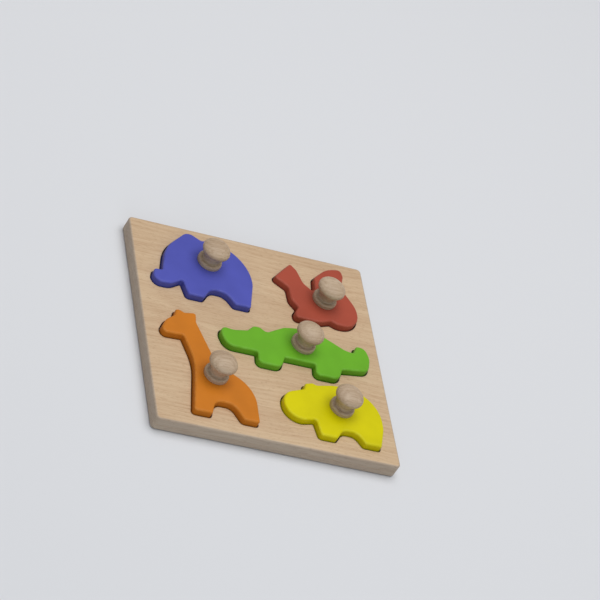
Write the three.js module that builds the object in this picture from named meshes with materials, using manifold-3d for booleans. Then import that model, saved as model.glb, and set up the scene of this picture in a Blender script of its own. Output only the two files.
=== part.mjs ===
// A wooden animal puzzle for small hands. Five painted animals lie in cut-outs of a square beech board and
// lift out by their turned knobs. The board is two glued plates, a frame with the cut-outs on a plain base.
// Each knob is held by one countersunk wood screw, driven up through the animal from below.
// Millimetres, +Z up. The origin is the middle of the board's underside, and the child sits at -Y.

import * as THREE from 'three';
import { mergeVertices } from 'three/addons/utils/BufferGeometryUtils.js';
import Module from 'manifold-3d';

const wasm = await Module();
wasm.setup();

// Board
const BOARD_SIDE = 225;
const BASE_THICKNESS = 6;
const FRAME_THICKNESS = 8;
const BOARD_CORNER_RADIUS = 4;
const BOARD_EDGE_ROUND = 1.6;

// Fit of an animal in its cut-out
const RECESS_CLEARANCE = 1;
const RECESS_RIM_EASE = 0.4; // small chamfer round the mouth of a cut-out

// Animals
const PIECE_THICKNESS = 14;
const PIECE_EDGE_ROUND = 2;

// Knob, turned in one piece: a drum-shaped foot, a waist and a flattened round head
const KNOB_FOOT_RADIUS = 11;
const KNOB_FOOT_HEIGHT = 4.5;
const KNOB_FOOT_EASE = 1;
const KNOB_COVE_HEIGHT = 2;
const KNOB_WAIST_RADIUS = 7.5;
const KNOB_WAIST_HEIGHT = 4.3;
const KNOB_HEAD_RADIUS = 12.6;
const KNOB_HEAD_THICKNESS = 12.4;

// Screw and the holes that it passes
const SCREW_SHANK_RADIUS = 2;
const SCREW_HEAD_RADIUS = 4;
const SCREW_HEAD_RIM = 0.4;
const SCREW_SINK = 0.5; // depth of the head under the animal's underside
const SCREW_BITE = 12; // length of shank in the knob
const SCREW_POINT_LENGTH = 3;
const SCREW_CLEARANCE = 0.3;
const CROSS_SLOT_WIDTH = 1;
const CROSS_SLOT_LENGTH = 4.2;
const CROSS_SLOT_DEPTH = 1.4;

// Fineness of the facets
const CHORD_ERROR = 0.12;
const LEAST_RADIUS = 0.3; // what is left of a rounded corner after its edge is rounded or its cut-out is eased
const LEAST_STEP = 0.2;
const EDGE_STEPS = 3;
const KNOB_SIDES = 24;
const COVE_STEPS = 2;
const HEAD_STEPS = 8;
const SCREW_SIDES = 16;

// The animals are drawn from above on a grid of 1000 units across the board, with its origin at the middle.
// Each corner is x, y and the radius that rounds it, clockwise from the animal's head. All look to the left.
const DRAWINGS = [
  {
    name: 'elephant',
    colour: '#5356b2',
    knob: [-198, 321],
    outline: [
      [-433, 228, 10.7], [-401, 229, 7.7], [-375, 355, 178], [-279, 452, 36], [-254, 452, 36],
      [-213, 428, 18], [-193, 436, 22], [-18, 436, 169], [-18, 253, 98], [-44, 130, 11.1],
      [-109, 130, 11.1], [-142, 180, 53], [-206, 180, 44], [-240, 130, 13], [-306, 130, 13],
      [-321, 198, 8], [-374, 164, 62], [-428, 164, 31], [-443, 193, 29],
    ],
  },
  {
    name: 'camel',
    colour: '#a94e43',
    knob: [284, 256],
    outline: [
      [164, 417, 10.7], [189, 389, 36], [209, 327, 40], [254, 287, 13], [263, 373, 31], [326, 434, 111],
      [389, 446, 18], [397, 411, 36], [376, 344, 27], [428, 253, 111], [428, 142, 78],
      [330, 142, 36], [301, 154, 8.9], [249, 135, 67], [149, 134, 13], [148, 162, 18],
      [166, 191, 7.7], [140, 225, 36], [138, 288, 22], [82, 327, 13],
    ],
  },
  {
    name: 'giraffe',
    colour: '#c07730',
    knob: [-247, -256],
    outline: [
      [-379, 7, 8.9], [-369, 40, 10.7], [-352, 39, 10.7], [-336, 30, 13], [-286, 40, 10.7], [-291, -8, 22],
      [-234, -187, 62], [-85, -284, 133], [-89, -446, 11.1], [-154, -446, 18], [-189, -381, 44],
      [-261, -381, 36], [-281, -446, 11.1], [-355, -446, 10.7], [-322, -211, 267], [-354, -88, 7.7],
      [-432, -92, 20], [-439, -65, 22], [-417, -23, 67],
    ],
  },
  {
    name: 'crocodile',
    colour: '#69a936',
    knob: [151, -6],
    outline: [
      [-184, 5, 22], [-138, -2, 67], [-76, 11, 18], [-47, 40, 22], [-21, 40, 22], [5, 21, 18],
      [84, 67, 62], [164, 82, 222], [242, 69, 62], [338, 17, 62], [374, 12, 7.7], [392, 50, 11.1],
      [430, 50, 31], [443, -4, 71], [426, -71, 40], [310, -89, 7.7], [287, -143, 36], [188, -143, 20],
      [195, -89, 7.7], [66, -89, 7.7], [45, -143, 36], [-53, -143, 20], [-47, -89, 7.7],
      [-176, -89, 44], [-192, -33, 36],
    ],
  },
  {
    name: 'hippo',
    colour: '#d0c613',
    knob: [269, -289],
    outline: [
      [28, -266, 68], [125, -228, 7.7], [134, -199, 10.7], [164, -189, 11.1], [182, -196, 18],
      [258, -178, 133], [442, -178, 135], [442, -349, 133], [417, -442, 11.1], [348, -442, 11.1],
      [319, -397, 40], [262, -397, 36], [231, -442, 13], [164, -442, 13], [152, -371, 7.7],
      [28, -403, 68],
    ],
  },
];

const BEECH = '#c4a47c';
const STEEL = '#b9bcc0';

// The drawings at the size of the board
const GRID_UNIT = BOARD_SIDE / 1000;
const toBoard = (values) => values.map((value) => value * GRID_UNIT);
const ANIMALS = DRAWINGS.map(({ name, colour, knob, outline }) => ({
  name,
  colour,
  knob: toBoard(knob),
  outline: outline.map(toBoard),
}));

// Heights that follow from the sizes above
const BOARD_THICKNESS = BASE_THICKNESS + FRAME_THICKNESS;
const PIECE_TOP = BASE_THICKNESS + PIECE_THICKNESS;
const SCREW_HEAD_Z = BASE_THICKNESS + SCREW_SINK;
const SCREW_LENGTH = PIECE_THICKNESS - SCREW_SINK + SCREW_BITE;
const HOLE_RADIUS = SCREW_SHANK_RADIUS + SCREW_CLEARANCE;
const OVERCUT = 1; // how far a cutter runs past the face that it cuts

// Rounds the corners of an outline with arcs and moves the whole line outwards by grow.
// The arcs keep their middles, so the moved line runs parallel to the first one.
function roundedOutline(corners, grow = 0) {
  const points = [];
  corners.forEach(([x, y, drawnRadius], i) => {
    const corner = new THREE.Vector2(x, y);
    const before = new THREE.Vector2(...corners.at(i - 1));
    const after = new THREE.Vector2(...corners[(i + 1) % corners.length]);
    const arriving = corner.clone().sub(before).normalize();
    const leaving = after.clone().sub(corner).normalize();
    const turn = Math.atan2(arriving.cross(leaving), arriving.dot(leaving));
    const outward = turn < 0;
    const rounding = outward ? PIECE_EDGE_ROUND : RECESS_CLEARANCE + RECESS_RIM_EASE;
    const radius = Math.max(drawnRadius, rounding + LEAST_RADIUS);
    const start = corner.clone().addScaledVector(arriving, -radius * Math.tan(Math.abs(turn) / 2));
    const side = outward ? -1 : 1;
    const toMiddle = new THREE.Vector2(-arriving.y, arriving.x).multiplyScalar(side);
    const middle = start.clone().addScaledVector(toMiddle, radius);
    const startAngle = toMiddle.clone().negate().angle();
    const steps = Math.ceil(Math.abs(turn) / (2 * Math.acos(1 - CHORD_ERROR / radius)));
    const arc = new THREE.ArcCurve(
      middle.x, middle.y, radius - side * grow, startAngle, startAngle + turn, outward,
    );
    points.push(...arc.getPoints(steps));
  });
  return points.filter((point, i) => point.distanceTo(points.at(i - 1)) > LEAST_STEP);
}

function solid(geometry) {
  geometry.deleteAttribute('normal');
  geometry.deleteAttribute('uv');
  const merged = mergeVertices(geometry, 1e-4);
  return new wasm.Manifold(new wasm.Mesh({
    numProp: 3,
    vertProperties: merged.attributes.position.array,
    triVerts: new Uint32Array(merged.index.array),
  }));
}

function geometryOf(body) {
  const { vertProperties, triVerts } = body.getMesh();
  const geometry = new THREE.BufferGeometry();
  geometry.setAttribute('position', new THREE.BufferAttribute(vertProperties, 3));
  geometry.setIndex(new THREE.BufferAttribute(triVerts, 1));
  geometry.computeVertexNormals();
  return geometry;
}

// A slab whose edges are rounded above and below, standing on z = 0
function roundedSlab(points, thickness, round) {
  const slab = new THREE.ExtrudeGeometry(new THREE.Shape(points), {
    depth: thickness - 2 * round,
    bevelThickness: round,
    bevelSize: round,
    bevelOffset: -round,
    bevelSegments: EDGE_STEPS,
  });
  return slab.translate(0, 0, round);
}

// A turned form about +Z, from a profile of radius and height
function turned(profile, sides) {
  return new THREE.LatheGeometry(profile, sides).rotateX(Math.PI / 2);
}

// The cutter of a cut-out: the animal's outline with clearance, flared at the mouth
function recessCutter(corners) {
  const flare = RECESS_RIM_EASE + OVERCUT;
  const points = roundedOutline(corners, RECESS_CLEARANCE);
  const cutter = new THREE.ExtrudeGeometry(new THREE.Shape(points), {
    depth: FRAME_THICKNESS + OVERCUT - RECESS_RIM_EASE,
    bevelThickness: flare,
    bevelSize: -flare,
    bevelOffset: flare,
    bevelSegments: 1,
  });
  return solid(cutter.translate(0, 0, BASE_THICKNESS - OVERCUT));
}

// The whole board, before its two plates are told apart
function boardBlank() {
  const half = BOARD_SIDE / 2;
  const corners = [[-half, half], [half, half], [half, -half], [-half, -half]];
  const points = roundedOutline(corners.map((corner) => [...corner, BOARD_CORNER_RADIUS]));
  return solid(roundedSlab(points, BOARD_THICKNESS, BOARD_EDGE_ROUND));
}

function basePlate() {
  const above = new THREE.BoxGeometry(2 * BOARD_SIDE, 2 * BOARD_SIDE, BOARD_THICKNESS);
  above.translate(0, 0, BASE_THICKNESS + BOARD_THICKNESS / 2);
  return geometryOf(boardBlank().subtract(solid(above)));
}

function framePlate() {
  const below = new THREE.BoxGeometry(2 * BOARD_SIDE, 2 * BOARD_SIDE, BOARD_THICKNESS);
  below.translate(0, 0, BASE_THICKNESS - BOARD_THICKNESS / 2);
  let plate = boardBlank().subtract(solid(below));
  for (const { outline } of ANIMALS) {
    plate = plate.subtract(recessCutter(outline));
  }
  return geometryOf(plate);
}

// The animal with its screw hole, countersunk from below
function animalPiece({ outline, knob: [x, y] }) {
  const body = solid(roundedSlab(roundedOutline(outline), PIECE_THICKNESS, PIECE_EDGE_ROUND));
  const sinkRadius = SCREW_HEAD_RADIUS + SCREW_CLEARANCE;
  const coneStart = SCREW_SINK + SCREW_HEAD_RIM;
  const coneEnd = coneStart + sinkRadius - HOLE_RADIUS;
  const hole = turned([
    new THREE.Vector2(0, -OVERCUT),
    new THREE.Vector2(sinkRadius, -OVERCUT),
    new THREE.Vector2(sinkRadius, coneStart),
    new THREE.Vector2(HOLE_RADIUS, coneEnd),
    new THREE.Vector2(HOLE_RADIUS, PIECE_THICKNESS + OVERCUT),
    new THREE.Vector2(0, PIECE_THICKNESS + OVERCUT),
  ], SCREW_SIDES);
  return geometryOf(body.subtract(solid(hole.translate(x, y, 0))));
}

// The knob's profile runs down the screw's bore to the foot, then round the outside up to the crown
function knobGeometry() {
  const boreDepth = SCREW_BITE + SCREW_CLEARANCE;
  const waistBottom = KNOB_FOOT_HEIGHT + KNOB_COVE_HEIGHT;
  const coveRadius = KNOB_FOOT_RADIUS - KNOB_FOOT_EASE;
  const cove = new THREE.EllipseCurve(
    coveRadius, waistBottom, coveRadius - KNOB_WAIST_RADIUS, KNOB_COVE_HEIGHT, 1.5 * Math.PI, Math.PI, true,
  );
  const headStart = Math.acos(KNOB_WAIST_RADIUS / KNOB_HEAD_RADIUS);
  const headHalf = KNOB_HEAD_THICKNESS / 2;
  const headMiddle = waistBottom + KNOB_WAIST_HEIGHT + headHalf * Math.sin(headStart);
  const head = new THREE.EllipseCurve(0, headMiddle, KNOB_HEAD_RADIUS, headHalf, -headStart, Math.PI / 2);
  const profile = [
    new THREE.Vector2(0, boreDepth),
    new THREE.Vector2(HOLE_RADIUS, boreDepth - HOLE_RADIUS),
    new THREE.Vector2(HOLE_RADIUS, 0),
    new THREE.Vector2(KNOB_FOOT_RADIUS, 0),
    new THREE.Vector2(KNOB_FOOT_RADIUS, KNOB_FOOT_HEIGHT - KNOB_FOOT_EASE),
    ...cove.getPoints(COVE_STEPS),
    ...head.getPoints(HEAD_STEPS),
  ];
  profile.at(-1).x = 0;
  return turned(profile, KNOB_SIDES);
}

function screwGeometry() {
  const coneEnd = SCREW_HEAD_RIM + SCREW_HEAD_RADIUS - SCREW_SHANK_RADIUS;
  const body = solid(turned([
    new THREE.Vector2(0, 0),
    new THREE.Vector2(SCREW_HEAD_RADIUS, 0),
    new THREE.Vector2(SCREW_HEAD_RADIUS, SCREW_HEAD_RIM),
    new THREE.Vector2(SCREW_SHANK_RADIUS, coneEnd),
    new THREE.Vector2(SCREW_SHANK_RADIUS, SCREW_LENGTH - SCREW_POINT_LENGTH),
    new THREE.Vector2(0, SCREW_LENGTH),
  ], SCREW_SIDES));
  const slot = new THREE.BoxGeometry(CROSS_SLOT_LENGTH, CROSS_SLOT_WIDTH, 2 * CROSS_SLOT_DEPTH);
  const crossing = slot.clone().rotateZ(Math.PI / 2);
  return geometryOf(body.subtract(solid(slot)).subtract(solid(crossing)));
}

function addMesh(group, name, geometry, colour, roughness, metalness = 0) {
  const material = new THREE.MeshStandardMaterial({ color: colour, roughness, metalness });
  const mesh = new THREE.Mesh(geometry, material);
  mesh.name = name;
  group.add(mesh);
  return mesh;
}

const puzzle = new THREE.Group();
addMesh(puzzle, 'base_plate', basePlate(), BEECH, 0.6);
addMesh(puzzle, 'frame_plate', framePlate(), BEECH, 0.6);

for (const animal of ANIMALS) {
  const [x, y] = animal.knob;
  const lifting = new THREE.Group();
  addMesh(lifting, `${animal.name}_piece`, animalPiece(animal), animal.colour, 0.45)
    .position.set(0, 0, BASE_THICKNESS);
  addMesh(lifting, `${animal.name}_knob`, knobGeometry(), BEECH, 0.55)
    .position.set(x, y, PIECE_TOP);
  addMesh(lifting, `${animal.name}_screw`, screwGeometry(), STEEL, 0.35, 1)
    .position.set(x, y, SCREW_HEAD_Z);
  puzzle.add(lifting);
}

export default puzzle;
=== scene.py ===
import math

import bmesh
import bpy
from mathutils import Matrix, Vector
from mathutils.geometry import tessellate_polygon


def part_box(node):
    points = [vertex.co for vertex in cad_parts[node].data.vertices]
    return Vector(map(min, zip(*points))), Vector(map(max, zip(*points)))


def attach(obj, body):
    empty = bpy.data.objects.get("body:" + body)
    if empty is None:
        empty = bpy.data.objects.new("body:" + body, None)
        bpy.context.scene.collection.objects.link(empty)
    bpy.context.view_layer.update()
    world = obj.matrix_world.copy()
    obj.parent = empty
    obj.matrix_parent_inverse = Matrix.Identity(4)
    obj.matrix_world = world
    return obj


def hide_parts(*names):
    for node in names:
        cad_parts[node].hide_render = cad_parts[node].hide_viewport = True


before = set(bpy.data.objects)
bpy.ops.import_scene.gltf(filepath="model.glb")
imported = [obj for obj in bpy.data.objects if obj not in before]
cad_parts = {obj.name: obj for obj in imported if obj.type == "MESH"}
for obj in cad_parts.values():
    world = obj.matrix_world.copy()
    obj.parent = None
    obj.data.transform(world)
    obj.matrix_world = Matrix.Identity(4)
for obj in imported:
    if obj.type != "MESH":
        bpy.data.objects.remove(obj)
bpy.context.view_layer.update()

# Base plate
# The lower of the board's two plates, sanded beech, which closes the cut-outs from below. It is glued under
# the frame plate, and its lower edge is rounded over.

MM = 0.001
BOARD_CORNER = 4.0
BOARD_ROUND = 1.6
GLUE_GROOVE = 0.18
# How far the chords of an arc may lie inside it
CHORD_ERROR = 0.02
ROUNDING_STEPS = 7
# Faces that meet at more degrees than this keep a crisp edge
SHARP_ANGLE = 40.0


def node_box(node):
    """The lowest and the highest corner of a CAD node, in millimetres to a thousandth."""
    return [Vector([round(value / MM, 3) for value in corner]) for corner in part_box(node)]


def rounded_outline(corners, grow=0.0):
    """Points of an outline with arcs at its corners (x, y, radius), clockwise and moved outwards by grow."""
    points = []
    for i, (x, y, radius) in enumerate(corners):
        corner = Vector((x, y))
        arriving = (corner - Vector(corners[i - 1][:2])).normalized()
        leaving = (Vector(corners[(i + 1) % len(corners)][:2]) - corner).normalized()
        turn = math.atan2(arriving.cross(leaving), arriving.dot(leaving))
        side = math.copysign(1.0, turn)
        start = corner - arriving * radius * math.tan(abs(turn) / 2)
        to_middle = Vector((-arriving.y, arriving.x)) * side
        middle = start + to_middle * radius
        spoke = -to_middle * (radius - side * grow)
        steps = max(2, math.ceil(abs(turn) / (2 * math.acos(1 - CHORD_ERROR / radius))))
        for k in range(steps + 1):
            points.append(middle + Matrix.Rotation(turn * k / steps, 2) @ spoke)
    return points


def rounding(corners, radius, low, high, sawn=0.0):
    """Rings of a rounded edge: radius inside the outline at height low, flush with it at height high. They
    count as edge in full half-way, and at the wall as much as sawn says.
    """
    rings = []
    for k in range(ROUNDING_STEPS + 1):
        t = math.pi / 2 * k / ROUNDING_STEPS
        z = low + (high - low) * (1 - math.cos(t))
        edge = max(math.sin(2 * t), sawn * math.sin(t))
        rings.append((rounded_outline(corners, -radius * (1 - math.sin(t))), z, edge))
    return rings


def solid(name, walls):
    """A closed piece from walls of rings, the outer wall first, then those of its holes. A ring is its
    points, its height, and from 0 to 1 how sawn or rubbed it is, which the materials read as attribute edge:
    there the paint is rubbed paler, and the beech turns darker and greyer, partly as painted shade.
    """
    form = bmesh.new()
    edge_layer = form.verts.layers.float.new("edge")
    ends = []
    for rings in walls:
        loops = []
        for points, z, edge in rings:
            loops.append([form.verts.new((p.x * MM, p.y * MM, z * MM)) for p in points])
            for vertex in loops[-1]:
                vertex[edge_layer] = edge
        for low, high in zip(loops, loops[1:]):
            for i in range(len(low)):
                form.faces.new((low[i - 1], low[i], high[i], high[i - 1]))
        ends.append((loops[0], loops[-1]))
    for loops in zip(*ends):
        flat = [vertex for loop in loops for vertex in loop]
        for triangle in tessellate_polygon([[vertex.co for vertex in loop] for loop in loops]):
            form.faces.new([flat[i] for i in triangle])
    bmesh.ops.recalc_face_normals(form, faces=form.faces)
    mesh = bpy.data.meshes.new(name)
    form.to_mesh(mesh)
    form.free()
    return smooth(name, mesh)


def smooth(name, mesh):
    """An object with its round edges shaded smooth and its flat faces kept flat."""
    mesh.shade_smooth()
    mesh.set_sharp_from_angle(angle=math.radians(SHARP_ANGLE))
    piece = bpy.data.objects.new(name, mesh)
    bpy.context.scene.collection.objects.link(piece)
    piece.modifiers.new("flat faces stay flat", "WEIGHTED_NORMAL").keep_sharp = True
    return piece


def colour(code):
    """The linear colour of an sRGB hex value."""
    parts = [int(code[i:i + 2], 16) / 255 for i in (1, 3, 5)]
    return [p / 12.92 if p <= 0.04045 else ((p + 0.055) / 1.055) ** 2.4 for p in parts] + [1.0]


def add(tree, kind, sockets=None, **settings):
    """Adds a node. A socket gets a value, or a link if it is given another node's output."""
    node = tree.nodes.new(kind)
    for key, value in settings.items():
        setattr(node, key, value)
    for key, value in (sockets or {}).items():
        if isinstance(value, bpy.types.NodeSocket):
            tree.links.new(value, node.inputs[key])
        else:
            node.inputs[key].default_value = value
    return node


def beech(name, heart, ring, pale, dark, fleck):
    """Sanded beech, finished with oil: pale pinkish straw with faint growth rings, fine wandering grain and
    short brown ray flecks. The sawn edges are darker and greyer, partly from the oil they take up and partly
    as painted shade on the sawn walls. The grain runs along X. The rings are so many millimetres apart and
    lie round the heart of the log, a point in millimetres.
    """
    material = bpy.data.materials.new(name)
    material.use_nodes = True
    tree = material.node_tree
    tree.nodes.clear()
    place = add(tree, "ShaderNodeTexCoord").outputs["Object"]
    # The grain wanders by about 10 mm in stretches of 90 mm
    wander = add(tree, "ShaderNodeTexNoise", {"Vector": place, "Scale": 1 / (90 * MM), "Detail": 1.0})
    bent = add(tree, "ShaderNodeVectorMath", {
        0: wander.outputs["Color"], 1: (10 * MM, 10 * MM, 10 * MM), 2: place,
    }, operation="MULTIPLY_ADD").outputs[0]
    from_heart = add(tree, "ShaderNodeMapping", {
        "Vector": bent, "Location": [-value * MM for value in heart],
    })
    # A wave texture of scale 1 repeats after a tenth of pi
    rings = add(tree, "ShaderNodeTexWave", {
        "Vector": from_heart.outputs[0], "Scale": math.pi / 10 / (ring * MM), "Distortion": 5.0,
        "Detail": 2.0, "Detail Scale": 0.12,
    }, wave_type="RINGS", rings_direction="X").outputs["Fac"]
    # Broad bands of 160 by 12 mm, grain lines of 30 by 1.1 mm and ray flecks of 5 by 0.6 mm
    patterns = []
    for length, width, detail in ((160, 12, 2.0), (30, 1.1, 4.0), (5, 0.6, 1.0)):
        scale = (1 / (length * MM), 1 / (width * MM), 1 / (width * MM))
        stretched = add(tree, "ShaderNodeMapping", {"Vector": bent, "Scale": scale})
        patterns.append(add(tree, "ShaderNodeTexNoise", {
            "Vector": stretched.outputs[0], "Scale": 1.0, "Detail": detail, "Roughness": 0.6,
        }).outputs["Fac"])
    bands, lines, flecks = patterns
    growth = add(tree, "ShaderNodeMath", {0: rings, 1: 0.2, 2: bands}, operation="MULTIPLY_ADD")
    tone = add(tree, "ShaderNodeMapRange", {
        "Value": growth.outputs[0], "From Min": 0.35, "From Max": 0.9, "To Max": 0.6,
    })
    strokes = add(tree, "ShaderNodeMapRange", {
        "Value": lines, "From Min": 0.48, "From Max": 0.72, "To Max": 0.6,
    })
    figure = add(tree, "ShaderNodeMath", {
        0: tone.outputs[0], 1: strokes.outputs[0],
    }, operation="ADD").outputs[0]
    wood = add(tree, "ShaderNodeMix", {0: figure, 6: colour(pale), 7: colour(dark)}, data_type="RGBA")
    seen = add(tree, "ShaderNodeMapRange", {
        "Value": flecks, "From Min": 0.62, "From Max": 0.72, "To Max": 0.5,
    })
    flecked = add(tree, "ShaderNodeMix", {
        0: seen.outputs[0], 6: wood.outputs[2], 7: colour(fleck),
    }, data_type="RGBA")
    edge = add(tree, "ShaderNodeAttribute", attribute_name="edge", attribute_type="GEOMETRY").outputs["Fac"]
    # Sawn walls turn darker and greyer: partly the oil they soak up, partly painted shade
    darker = add(tree, "ShaderNodeMapRange", {"Value": edge, "To Min": 1.0, "To Max": 0.79})
    greyer = add(tree, "ShaderNodeMapRange", {"Value": edge, "To Min": 1.0, "To Max": 0.72})
    oil_and_shade_toned = add(tree, "ShaderNodeHueSaturation", {
        "Saturation": greyer.outputs[0], "Value": darker.outputs[0], "Color": flecked.outputs[2],
    })
    gloss = add(tree, "ShaderNodeMapRange", {"Value": lines, "To Min": 0.46, "To Max": 0.64})
    relief = add(tree, "ShaderNodeBump", {"Height": figure, "Strength": 0.12, "Distance": 0.4 * MM})
    surface = add(tree, "ShaderNodeBsdfPrincipled", {
        "Base Color": oil_and_shade_toned.outputs[0], "Roughness": gloss.outputs[0], "Normal": relief.outputs[0],
        "IOR": 1.45,
    })
    add(tree, "ShaderNodeOutputMaterial", {"Surface": surface.outputs[0]})
    return material


base_low, base_high = node_box("base_plate")
glue_z = base_high.z
board_corners = [
    (base_low.x, base_high.y, BOARD_CORNER), (base_high.x, base_high.y, BOARD_CORNER),
    (base_high.x, base_low.y, BOARD_CORNER), (base_low.x, base_low.y, BOARD_CORNER),
]
base_plate = solid("base_plate_beech", [
    rounding(board_corners, BOARD_ROUND, base_low.z, base_low.z + BOARD_ROUND, sawn=1.0) + [
        (rounded_outline(board_corners), glue_z - GLUE_GROOVE, 1.0),
        (rounded_outline(board_corners, -GLUE_GROOVE), glue_z, 0.0),
    ],
])
sanded_beech = beech(
    "sanded beech", heart=(0, 35, -70), ring=3.4, pale="#cbb08e", dark="#b49371", fleck="#94714d",
)
base_plate.data.materials.append(sanded_beech)
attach(base_plate, "board")
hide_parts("base_plate")

# Frame plate
# The upper of the board's two plates, beech sawn through along five animal outlines. Its top edge is rounded
# over, the mouths of the cut-outs are eased by hand, and it is glued down on the base plate.

RECESS_CLEARANCE = 1.0
RECESS_EASE = 0.4
# The eased mouth has two bevels, which meet this far out from the wall and below the top
EASE_BEND = 0.12
GRID_ACROSS = 1000

# The animals, drawn from above on a grid of 1000 units across the board: x, y and the radius of each corner
drawings = {
    "elephant": [
        (-433, 228, 10.7), (-401, 229, 7.7), (-375, 355, 178), (-279, 452, 36), (-254, 452, 36),
        (-213, 428, 18), (-193, 436, 22), (-18, 436, 169), (-18, 253, 98), (-44, 130, 11.1),
        (-109, 130, 11.1), (-142, 180, 53), (-206, 180, 44), (-240, 130, 13), (-306, 130, 13),
        (-321, 198, 8), (-374, 164, 62), (-428, 164, 31), (-443, 193, 29),
    ],
    "camel": [
        (164, 417, 10.7), (189, 389, 36), (209, 327, 40), (254, 287, 13), (263, 373, 31), (326, 434, 111),
        (389, 446, 18), (397, 411, 36), (376, 344, 27), (428, 253, 111), (428, 142, 78),
        (330, 142, 36), (301, 154, 8.9), (249, 135, 67), (149, 134, 13), (148, 162, 18),
        (166, 191, 7.7), (140, 225, 36), (138, 288, 22), (82, 327, 13),
    ],
    "giraffe": [
        (-379, 7, 8.9), (-369, 40, 10.7), (-352, 39, 10.7), (-336, 30, 13), (-286, 40, 10.7), (-291, -8, 22),
        (-234, -187, 62), (-85, -284, 133), (-89, -446, 11.1), (-154, -446, 18), (-189, -381, 44),
        (-261, -381, 36), (-281, -446, 11.1), (-355, -446, 10.7), (-322, -211, 267), (-354, -88, 7.7),
        (-432, -92, 20), (-439, -65, 22), (-417, -23, 67),
    ],
    "crocodile": [
        (-184, 5, 22), (-138, -2, 67), (-76, 11, 18), (-47, 40, 22), (-21, 40, 22), (5, 21, 18),
        (84, 67, 62), (164, 82, 222), (242, 69, 62), (338, 17, 62), (374, 12, 7.7), (392, 50, 11.1),
        (430, 50, 31), (443, -4, 71), (426, -71, 40), (310, -89, 7.7), (287, -143, 36), (188, -143, 20),
        (195, -89, 7.7), (66, -89, 7.7), (45, -143, 36), (-53, -143, 20), (-47, -89, 7.7),
        (-176, -89, 44), (-192, -33, 36),
    ],
    "hippo": [
        (28, -266, 68), (125, -228, 7.7), (134, -199, 10.7), (164, -189, 11.1), (182, -196, 18),
        (258, -178, 133), (442, -178, 135), (442, -349, 133), (417, -442, 11.1), (348, -442, 11.1),
        (319, -397, 40), (262, -397, 36), (231, -442, 13), (164, -442, 13), (152, -371, 7.7),
        (28, -403, 68),
    ],
}
grid_unit = (base_high.x - base_low.x) / GRID_ACROSS
outlines = {
    name: [tuple(value * grid_unit for value in corner) for corner in corners]
    for name, corners in drawings.items()
}
board_top = node_box("frame_plate")[1].z
frame_walls = [[
    (rounded_outline(board_corners, -GLUE_GROOVE), glue_z, 1.0),
    (rounded_outline(board_corners), glue_z + GLUE_GROOVE, 1.0),
] + rounding(board_corners, BOARD_ROUND, board_top, board_top - BOARD_ROUND, sawn=1.0)[::-1]]
for corners in outlines.values():
    frame_walls.append([
        (rounded_outline(corners, RECESS_CLEARANCE), glue_z, 1.0),
        (rounded_outline(corners, RECESS_CLEARANCE), board_top - RECESS_EASE, 1.0),
        (rounded_outline(corners, RECESS_CLEARANCE + EASE_BEND), board_top - EASE_BEND, 1.0),
        (rounded_outline(corners, RECESS_CLEARANCE + RECESS_EASE), board_top, 0.0),
    ])
frame_plate = solid("frame_plate_beech", frame_walls)
frame_plate.data.materials.append(sanded_beech)
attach(frame_plate, "board")
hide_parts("frame_plate")

# Animals
# Five flat animals sawn from thick beech, rounded over on both faces and painted all over in a satin,
# water-based coat. Each has a countersunk hole from below for the screw of its knob.

PIECE_ROUND = 2.0
SINK_RADIUS = 4.3
SINK_RIM = 0.9
HOLE_RADIUS = 2.3
HOLE_SIDES = 48


def circle(x, y, radius):
    """Points of a circle."""
    turns = [2 * math.pi * k / HOLE_SIDES for k in range(HOLE_SIDES)]
    return [Vector((x + radius * math.cos(t), y + radius * math.sin(t))) for t in turns]


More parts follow.
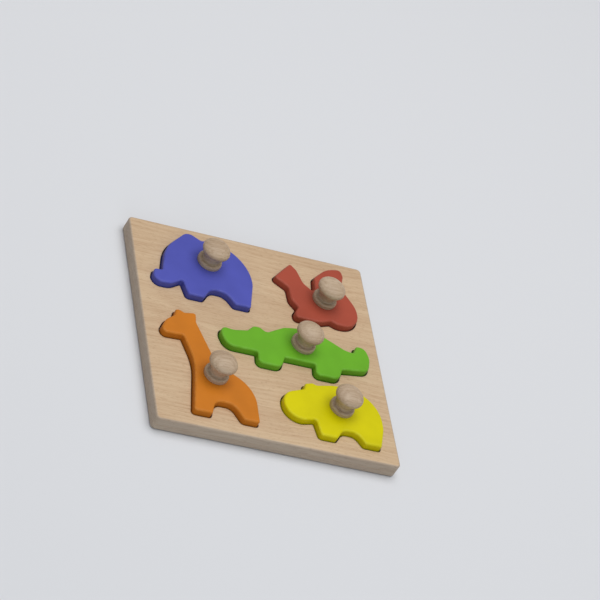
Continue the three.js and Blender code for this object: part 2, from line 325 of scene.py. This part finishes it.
def satin_paint(name, code, rubbed):
    """A satin coat of paint on wood: even colour, a faint orange peel, grain that telegraphs through, and a
    slightly thinner, paler film along the rounded edges.
    """
    material = bpy.data.materials.new(name)
    material.use_nodes = True
    tree = material.node_tree
    tree.nodes.clear()
    place = add(tree, "ShaderNodeTexCoord").outputs["Object"]
    # Grain lines of 40 by 1.5 mm, roller texture 0.9 mm across, clouds 25 mm across and rubbed spots of 5 mm
    lengthwise = add(tree, "ShaderNodeMapping", {
        "Vector": place, "Scale": (1 / (40 * MM), 1 / (1.5 * MM), 1 / (1.5 * MM)),
    })
    lines = add(tree, "ShaderNodeTexNoise", {"Vector": lengthwise.outputs[0], "Scale": 1.0, "Detail": 3.0})
    peel = add(tree, "ShaderNodeTexNoise", {"Vector": place, "Scale": 1 / (0.9 * MM), "Detail": 1.0})
    clouds = add(tree, "ShaderNodeTexNoise", {"Vector": place, "Scale": 1 / (25 * MM), "Detail": 2.0})
    spots = add(tree, "ShaderNodeTexNoise", {"Vector": place, "Scale": 1 / (5 * MM), "Detail": 3.0})
    edge = add(tree, "ShaderNodeAttribute", attribute_name="edge", attribute_type="GEOMETRY")
    thin = add(tree, "ShaderNodeMath", {
        0: edge.outputs["Fac"], 1: spots.outputs["Fac"],
    }, operation="MULTIPLY")
    film = add(tree, "ShaderNodeMapRange", {
        "Value": thin.outputs[0], "From Min": 0.3, "From Max": 0.7, "To Max": 0.4,
    })
    uneven = add(tree, "ShaderNodeMapRange", {
        "Value": clouds.outputs["Fac"], "From Min": 0.3, "From Max": 0.7, "To Min": 0.94, "To Max": 1.06,
    })
    coat = add(tree, "ShaderNodeMix", {
        0: film.outputs[0], 6: colour(code), 7: colour(rubbed),
    }, data_type="RGBA")
    tinted = add(tree, "ShaderNodeHueSaturation", {"Value": uneven.outputs[0], "Color": coat.outputs[2]})
    gloss = add(tree, "ShaderNodeMapRange", {"Value": lines.outputs["Fac"], "To Min": 0.32, "To Max": 0.46})
    heights = add(tree, "ShaderNodeMath", {0: lines.outputs["Fac"], 1: peel.outputs["Fac"]}, operation="ADD")
    relief = add(tree, "ShaderNodeBump", {
        "Height": heights.outputs[0], "Strength": 0.1, "Distance": 0.3 * MM,
    })
    surface = add(tree, "ShaderNodeBsdfPrincipled", {
        "Base Color": tinted.outputs[0], "Roughness": gloss.outputs[0], "Normal": relief.outputs[0],
        "IOR": 1.48, "Specular IOR Level": 0.13,
    })
    add(tree, "ShaderNodeOutputMaterial", {"Surface": surface.outputs[0]})
    return material


# The colour of each animal, its paint, and the paler tone where the paint is rubbed thin
paints = {
    "elephant": ("blue", "#4f54aa", "#7075bf"),
    "camel": ("red", "#a34b39", "#b8695a"),
    "giraffe": ("orange", "#c4741f", "#cf8f4c"),
    "crocodile": ("green", "#68a928", "#88bb59"),
    "hippo": ("yellow", "#cec400", "#d7cf48"),
}
knob_axes = {}
for name, corners in outlines.items():
    bottom, top = (corner.z for corner in node_box(name + "_piece"))
    outside = rounding(corners, PIECE_ROUND, bottom, bottom + PIECE_ROUND)
    outside += rounding(corners, PIECE_ROUND, top, top - PIECE_ROUND)[::-1]
    # The hole lies under the middle of the knob
    knob_low, knob_high = node_box(name + "_knob")
    knob_axes[name] = (knob_low + knob_high) / 2
    x, y = knob_axes[name].xy
    hole = [
        (circle(x, y, SINK_RADIUS), bottom, 0.0),
        (circle(x, y, SINK_RADIUS), bottom + SINK_RIM, 0.0),
        (circle(x, y, HOLE_RADIUS), bottom + SINK_RIM + SINK_RADIUS - HOLE_RADIUS, 0.0),
        (circle(x, y, HOLE_RADIUS), top, 0.0),
    ]
    animal = solid(name + "_painted", [outside, hole])
    shade, code, rubbed = paints[name]
    animal.data.materials.append(satin_paint(shade + " satin paint", code, rubbed))
    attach(animal, name)
    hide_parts(name + "_piece")

# Knobs
# Five like knobs, each turned from one piece of beech with the grain lying flat: a drum-shaped foot, a coved
# waist and a flattened round head, sanded on the lathe. Each is screwed down on the top of its animal.

KNOB_FOOT_RADIUS = 11.0
KNOB_FOOT_HEIGHT = 4.5
KNOB_FOOT_ROUND = 2.0
KNOB_FOOT_EASE = 0.4
KNOB_COVE_HEIGHT = 2.0
KNOB_WAIST_RADIUS = 7.5
KNOB_WAIST_HEIGHT = 4.3
KNOB_HEAD_RADIUS = 12.6
KNOB_HEAD_THICKNESS = 12.4
KNOB_BORE_DEPTH = 12.3
KNOB_SIDES = 96


def turning_tree():
    """Turns a profile in the XZ plane about an upright axis, as a lathe does. It can cut a thread from some
    height upwards, and a cross recess into the low end.
    """
    tree = bpy.data.node_groups.new("turned about its axis", "GeometryNodeTree")
    tree.interface.new_socket("Geometry", in_out="OUTPUT", socket_type="NodeSocketGeometry")
    for name, kind in (("Profile", "Geometry"), ("Sides", "Int"), ("Steps", "Int"), ("Axis", "Vector"),
                       ("Thread Pitch", "Float"), ("Thread Depth", "Float"), ("Thread Start", "Float"),
                       ("Cross Recess", "Bool"), ("Recess Size", "Vector"), ("Finish", "Material")):
        tree.interface.new_socket(name, in_out="INPUT", socket_type="NodeSocket" + kind)
    given = add(tree, "NodeGroupInput").outputs
    # A grid with a column for each side and a row for each point of the profile
    around = add(tree, "ShaderNodeMath", {0: given["Sides"], 1: 1.0}, operation="ADD")
    upward = add(tree, "ShaderNodeMath", {0: given["Steps"], 1: 1.0}, operation="ADD")
    grid = add(tree, "GeometryNodeMeshGrid", {
        "Size X": 1.0, "Size Y": 1.0, "Vertices X": around.outputs[0], "Vertices Y": upward.outputs[0],
    })
    here = add(tree, "GeometryNodeInputPosition").outputs[0]
    on_grid = add(tree, "ShaderNodeSeparateXYZ", {0: here})
    angle = add(tree, "ShaderNodeMath", {0: on_grid.outputs["X"], 1: 2 * math.pi}, operation="MULTIPLY")
    share = add(tree, "ShaderNodeMath", {0: on_grid.outputs["Y"], 1: 0.5}, operation="ADD")
    step = add(tree, "ShaderNodeMath", {0: share.outputs[0], 1: given["Steps"]}, operation="MULTIPLY")
    nearest = add(tree, "ShaderNodeMath", {0: step.outputs[0]}, operation="ROUND")
    point = add(tree, "GeometryNodeSampleIndex", {
        "Geometry": given["Profile"], "Value": here, "Index": nearest.outputs[0],
    }, data_type="FLOAT_VECTOR", domain="POINT")
    cut = add(tree, "ShaderNodeSeparateXYZ", {0: point.outputs[0]})
    # The thread takes away from the radius between its crests, which climb by the pitch in each turn
    pitches = add(tree, "ShaderNodeMath", {0: cut.outputs["Z"], 1: given["Thread Pitch"]}, operation="DIVIDE")
    winding = add(tree, "ShaderNodeMath", {
        0: pitches.outputs[0], 1: on_grid.outputs["X"],
    }, operation="SUBTRACT")
    crest = add(tree, "ShaderNodeMath", {0: winding.outputs[0], 1: 0.5}, operation="PINGPONG")
    flank = add(tree, "ShaderNodeMapRange", {
        "Value": crest.outputs[0], "From Min": 0.1, "From Max": 0.4, "To Max": given["Thread Depth"],
    })
    above = add(tree, "ShaderNodeMath", {
        0: cut.outputs["Z"], 1: given["Thread Start"],
    }, operation="GREATER_THAN")
    groove = add(tree, "ShaderNodeMath", {0: flank.outputs[0], 1: above.outputs[0]}, operation="MULTIPLY")
    ridge = add(tree, "ShaderNodeMath", {0: cut.outputs["X"], 1: groove.outputs[0]}, operation="SUBTRACT")
    radius = add(tree, "ShaderNodeMath", {0: ridge.outputs[0], 1: 0.0}, operation="MAXIMUM")
    # Each point goes out from the axis by its radius
    cosine = add(tree, "ShaderNodeMath", {0: angle.outputs[0]}, operation="COSINE")
    sine = add(tree, "ShaderNodeMath", {0: angle.outputs[0]}, operation="SINE")
    x = add(tree, "ShaderNodeMath", {0: cosine.outputs[0], 1: radius.outputs[0]}, operation="MULTIPLY")
    y = add(tree, "ShaderNodeMath", {0: sine.outputs[0], 1: radius.outputs[0]}, operation="MULTIPLY")
    spun = add(tree, "ShaderNodeCombineXYZ", {"X": x.outputs[0], "Y": y.outputs[0], "Z": cut.outputs["Z"]})
    placed = add(tree, "ShaderNodeVectorMath", {0: spun.outputs[0], 1: given["Axis"]}, operation="ADD")
    shaped = add(tree, "GeometryNodeSetPosition", {
        "Geometry": grid.outputs["Mesh"], "Position": placed.outputs[0],
    })
    closed = add(tree, "GeometryNodeMergeByDistance", {"Geometry": shaped.outputs[0], "Distance": 0.001 * MM})
    # Two crossed bars cut the recess
    bar = add(tree, "GeometryNodeMeshCube", {"Size": given["Recess Size"]})
    along_x = add(tree, "GeometryNodeTransform", {"Geometry": bar.outputs[0], "Translation": given["Axis"]})
    along_y = add(tree, "GeometryNodeTransform", {
        "Geometry": bar.outputs[0], "Translation": given["Axis"], "Rotation": (0, 0, math.pi / 2),
    })
    driven = add(tree, "GeometryNodeMeshBoolean", {"Mesh 1": closed.outputs[0], "Mesh 2": along_x.outputs[0]},
                 operation="DIFFERENCE", solver="EXACT")
    tree.links.new(along_y.outputs[0], driven.inputs["Mesh 2"])
    choice = add(tree, "GeometryNodeSwitch", {
        "Switch": given["Cross Recess"], "False": closed.outputs[0], "True": driven.outputs[0],
    }, input_type="GEOMETRY")
    whole = add(tree, "GeometryNodeRealizeInstances", {"Geometry": choice.outputs[0]})
    finished = add(tree, "GeometryNodeSetMaterial", {
        "Geometry": whole.outputs[0], "Material": given["Finish"],
    })
    add(tree, "NodeGroupOutput", {"Geometry": finished.outputs[0]})
    return tree


def turned(name, profile, **inputs):
    """A plain mesh piece from a profile of (radius, height) in millimetres, with the tree's other inputs."""
    line = bpy.data.meshes.new(name)
    points = [(r * MM, 0, z * MM) for r, z in profile]
    line.from_pydata(points, [(i, i + 1) for i in range(len(points) - 1)], [])
    blank = bpy.data.objects.new(name + "_profile", line)
    bpy.context.scene.collection.objects.link(blank)
    lathe = blank.modifiers.new("lathe", "NODES")
    lathe.node_group = turning
    inputs["Steps"] = len(profile) - 1
    for item in turning.interface.items_tree:
        if item.name in inputs:
            lathe[item.identifier] = inputs[item.name]
    spun = blank.evaluated_get(bpy.context.evaluated_depsgraph_get())
    mesh = bpy.data.meshes.new_from_object(spun)
    bpy.data.objects.remove(blank)
    form = bmesh.new()
    form.from_mesh(mesh)
    bmesh.ops.recalc_face_normals(form, faces=form.faces)
    form.to_mesh(mesh)
    form.free()
    return smooth(name, mesh)


def arc(x, z, width, height, start, end, steps):
    """Points on an ellipse about (x, z), from one angle in degrees to another."""
    turns = [math.radians(start + (end - start) * k / steps) for k in range(steps + 1)]
    return [(x + width * math.cos(t), z + height * math.sin(t)) for t in turns]


turning = turning_tree()
foot_lip = KNOB_FOOT_RADIUS - KNOB_FOOT_EASE
cove_radius = KNOB_FOOT_RADIUS - KNOB_FOOT_ROUND
round_start = KNOB_FOOT_HEIGHT - KNOB_FOOT_ROUND
waist_bottom = KNOB_FOOT_HEIGHT + KNOB_COVE_HEIGHT
head_start = math.degrees(math.acos(KNOB_WAIST_RADIUS / KNOB_HEAD_RADIUS))
head_half = KNOB_HEAD_THICKNESS / 2
head_middle = waist_bottom + KNOB_WAIST_HEIGHT + head_half * math.sin(math.radians(head_start))
knob_profile = [
    (0.0, KNOB_BORE_DEPTH), (HOLE_RADIUS, KNOB_BORE_DEPTH - HOLE_RADIUS), (HOLE_RADIUS, 0.0), (foot_lip, 0.0),
    *arc(foot_lip, KNOB_FOOT_EASE, KNOB_FOOT_EASE, KNOB_FOOT_EASE, -90, 0, steps=4)[1:],
    *arc(cove_radius, round_start, KNOB_FOOT_ROUND, KNOB_FOOT_ROUND, 0, 90, steps=6),
    *arc(cove_radius, waist_bottom, cove_radius - KNOB_WAIST_RADIUS, KNOB_COVE_HEIGHT, 270, 180, steps=8)[1:],
    *arc(0.0, head_middle, KNOB_HEAD_RADIUS, head_half, -head_start, 90, steps=40)[:-1],
    (0.0, head_middle + head_half),
]
turned_beech = beech(
    "turned beech", heart=(0, 10, -110), ring=2.4, pale="#bfa98f", dark="#9a7f63", fleck="#84674c",
)
for name, axis in knob_axes.items():
    knob_bottom = node_box(name + "_knob")[0].z
    knob = turned(name + "_knob_beech", knob_profile, Sides=KNOB_SIDES,
                  Axis=(axis.x * MM, axis.y * MM, knob_bottom * MM), Finish=turned_beech)
    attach(knob, name)
    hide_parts(name + "_knob")

# Screws
# Five zinc-plated countersunk wood screws with a cross recess. Each is driven up through its animal into the
# knob, until its head is sunk a little into the animal's underside.

SCREW_HEAD_RADIUS = 4.0
SCREW_HEAD_RIM = 0.4
SCREW_HEAD_EASE = 0.15
SCREW_SHANK_RADIUS = 2.0
SCREW_LENGTH = 25.5
SCREW_POINT = 3.0
SCREW_PITCH = 1.8
SCREW_THREAD_DEPTH = 0.55
SCREW_THREAD_START = 9.0
SCREW_THREAD_ROWS = 72
SCREW_SIDES = 40
SCREW_RECESS = (4.2, 1.0, 2.8)


def zinc_plate():
    """Bright zinc plating on steel: cool grey metal with a soft, slightly blotchy shine."""
    material = bpy.data.materials.new("zinc-plated steel")
    material.use_nodes = True
    tree = material.node_tree
    tree.nodes.clear()
    place = add(tree, "ShaderNodeTexCoord").outputs["Object"]
    # Blotches of the plating about 0.8 mm across
    blotches = add(tree, "ShaderNodeTexNoise", {
        "Vector": place, "Scale": 1 / (0.8 * MM), "Detail": 3.0,
    }).outputs["Fac"]
    tone = add(tree, "ShaderNodeMix", {
        0: blotches, 6: colour("#c3c6c9"), 7: colour("#a9adb2"),
    }, data_type="RGBA")
    gloss = add(tree, "ShaderNodeMapRange", {"Value": blotches, "To Min": 0.22, "To Max": 0.42})
    surface = add(tree, "ShaderNodeBsdfPrincipled", {
        "Base Color": tone.outputs[2], "Metallic": 1.0, "Roughness": gloss.outputs[0],
    })
    add(tree, "ShaderNodeOutputMaterial", {"Surface": surface.outputs[0]})
    return material


screw_profile = [
    (0.0, 0.0), (SCREW_HEAD_RADIUS - SCREW_HEAD_EASE, 0.0), (SCREW_HEAD_RADIUS, SCREW_HEAD_EASE),
    (SCREW_HEAD_RADIUS, SCREW_HEAD_RIM),
    (SCREW_SHANK_RADIUS, SCREW_HEAD_RIM + SCREW_HEAD_RADIUS - SCREW_SHANK_RADIUS),
]
for k in range(SCREW_THREAD_ROWS + 1):
    z = SCREW_THREAD_START + (SCREW_LENGTH - SCREW_THREAD_START) * k / SCREW_THREAD_ROWS
    tapered = SCREW_SHANK_RADIUS * (SCREW_LENGTH - z) / SCREW_POINT
    screw_profile.append((min(SCREW_SHANK_RADIUS, tapered), z))
plated = zinc_plate()
for name, axis in knob_axes.items():
    head_z = node_box(name + "_screw")[0].z
    screw = turned(name + "_screw_zinc", screw_profile, **{
        "Sides": SCREW_SIDES, "Axis": (axis.x * MM, axis.y * MM, head_z * MM), "Finish": plated,
        "Thread Pitch": SCREW_PITCH * MM, "Thread Depth": SCREW_THREAD_DEPTH * MM,
        "Thread Start": SCREW_THREAD_START * MM, "Cross Recess": True,
        "Recess Size": [size * MM for size in SCREW_RECESS],
    })
    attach(screw, name)
    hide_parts(name + "_screw")

# Floor, light and camera
# A pale paper floor under a wide softbox, almost overhead, with a weak, cool fill in front. The camera looks
# down over the board's near left corner with a long lens, turned on its axis as in the photograph.

FLOOR_SIDE = 14.0
# A hair below the board's underside, so that the two faces don't fall together
FLOOR_Z = -0.3 * MM
PAPER_ROUGHNESS = 0.9
WALL_LIGHT = 0.3
LAMPS = (
    # Name, place and side in metres, power in watts, tint
    ("softbox", Vector((0.2, 0.35, 2.5)), 2.4, 59, (1.0, 1.0, 1.0)),
    ("front fill", Vector((-0.4, -2.4, 1.0)), 1.5, 12, (0.8, 0.91, 1.0)),
)
CAMERA_LENS = 180.0
CAMERA_SENSOR = 36.0
CAMERA_AZIMUTH = -32.3
CAMERA_ELEVATION = 39.0
CAMERA_ROLL = 34.5
# To the side and up by so much, in metres, that the board lies left of the middle and below it
CAMERA_OFFSET = (0.0308, 0.0339)
CAMERA_DISTANCE = 2.533

floor_mesh = bpy.data.meshes.new("floor")
half = FLOOR_SIDE / 2
floor_corners = [(x, y, FLOOR_Z) for x, y in ((-half, -half), (half, -half), (half, half), (-half, half))]
floor_mesh.from_pydata(floor_corners, [], [(0, 1, 2, 3)])
floor = bpy.data.objects.new("floor", floor_mesh)
bpy.context.scene.collection.objects.link(floor)
paper = bpy.data.materials.new("pale paper backdrop")
paper.use_nodes = True
paper_surface = paper.node_tree.nodes["Principled BSDF"]
paper_surface.inputs["Base Color"].default_value = colour("#d6d7da")
paper_surface.inputs["Roughness"].default_value = PAPER_ROUGHNESS
floor_mesh.materials.append(paper)

studio = bpy.data.worlds.new("pale studio walls")
bpy.context.scene.world = studio
studio.use_nodes = True
studio.node_tree.nodes["Background"].inputs["Color"].default_value = colour("#f4f5f7")
studio.node_tree.nodes["Background"].inputs["Strength"].default_value = WALL_LIGHT

for name, place, side, watts, tint in LAMPS:
    lamp = bpy.data.objects.new(name, bpy.data.lights.new(name, "AREA"))
    lamp.data.size = side
    lamp.data.energy = watts
    lamp.data.color = tint
    lamp.location = place
    lamp.rotation_euler = (-place).to_track_quat("-Z", "Y").to_euler()
    bpy.context.scene.collection.objects.link(lamp)

camera = bpy.data.objects.new("camera", bpy.data.cameras.new("camera"))
bpy.context.scene.collection.objects.link(camera)
camera.data.lens = CAMERA_LENS
camera.data.sensor_width = CAMERA_SENSOR
camera.matrix_world = (
    Matrix.Translation((0, 0, board_top * MM))
    @ Matrix.Rotation(math.radians(CAMERA_AZIMUTH), 4, "Z")
    @ Matrix.Rotation(math.radians(90 - CAMERA_ELEVATION), 4, "X")
    @ Matrix.Rotation(math.radians(CAMERA_ROLL), 4, "Z")
    @ Matrix.Translation((*CAMERA_OFFSET, CAMERA_DISTANCE))
)
bpy.context.scene.camera = camera
bpy.context.scene.view_settings.view_transform = "Standard"
